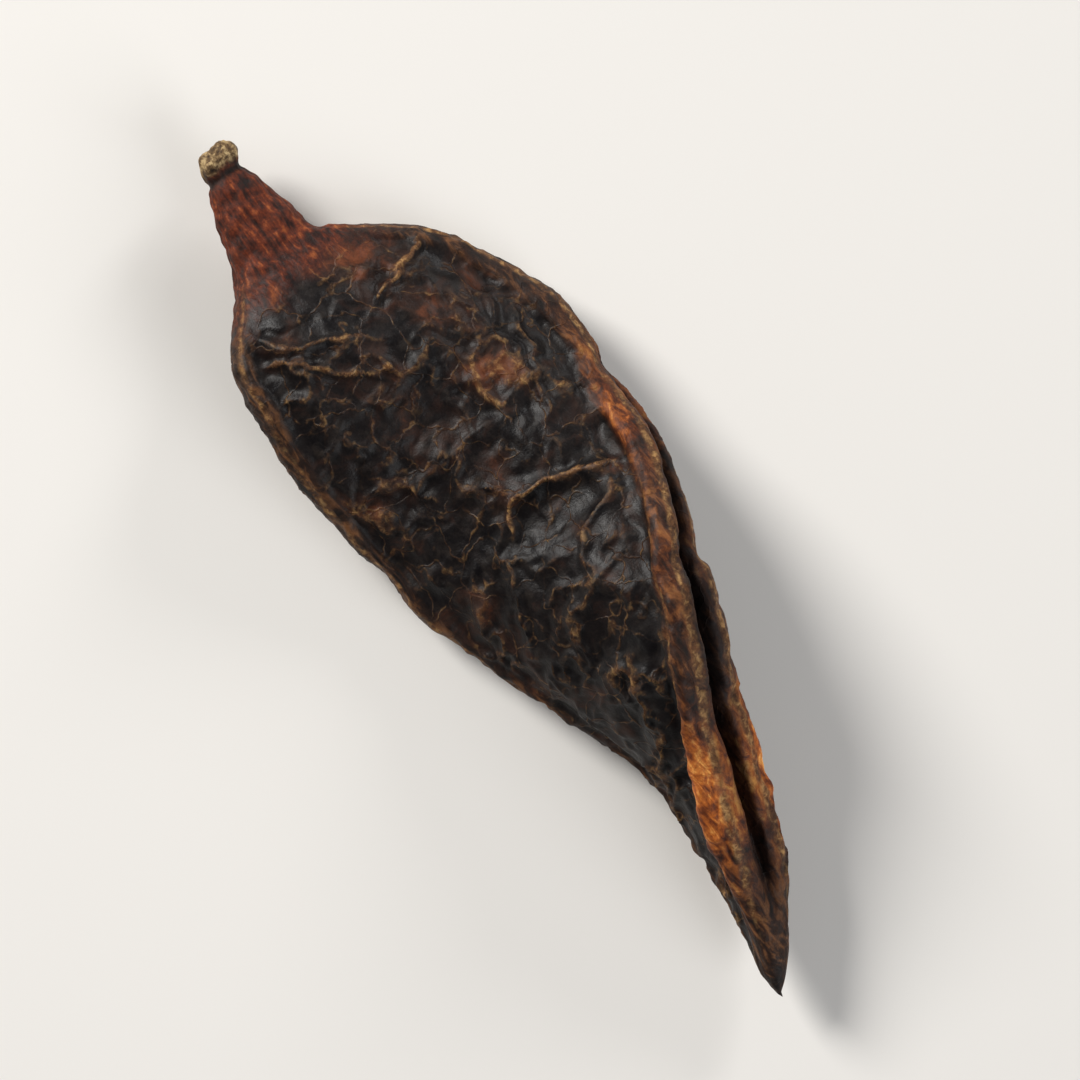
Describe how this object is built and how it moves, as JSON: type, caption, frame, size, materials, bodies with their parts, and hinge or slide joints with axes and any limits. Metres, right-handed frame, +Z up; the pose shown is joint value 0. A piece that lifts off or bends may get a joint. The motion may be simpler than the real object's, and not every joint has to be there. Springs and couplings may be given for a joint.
{
  "type": "dried shikakai pod",
  "caption": "Dried, flattened legume pod with a short stalk, wrinkled skin, a thick double-lipped suture along one edge and a gentle twist to a pointed beak.",
  "frame": {"origin": "middle of the pod's box in X and Y, on the surface that the pod lies on", "axes": "+X from the stalk's cut end to the beak, +Y towards the open suture's edge, +Z up from the surface"},
  "size_m": [0.061, 0.0196, 0.0117],
  "materials": {
    "dried_pod": "dark brown, wrinkled, dull leathery sheen"
  },
  "bodies": {
    "root": {"pod": "dried_pod"}
  },
  "joints": []
}
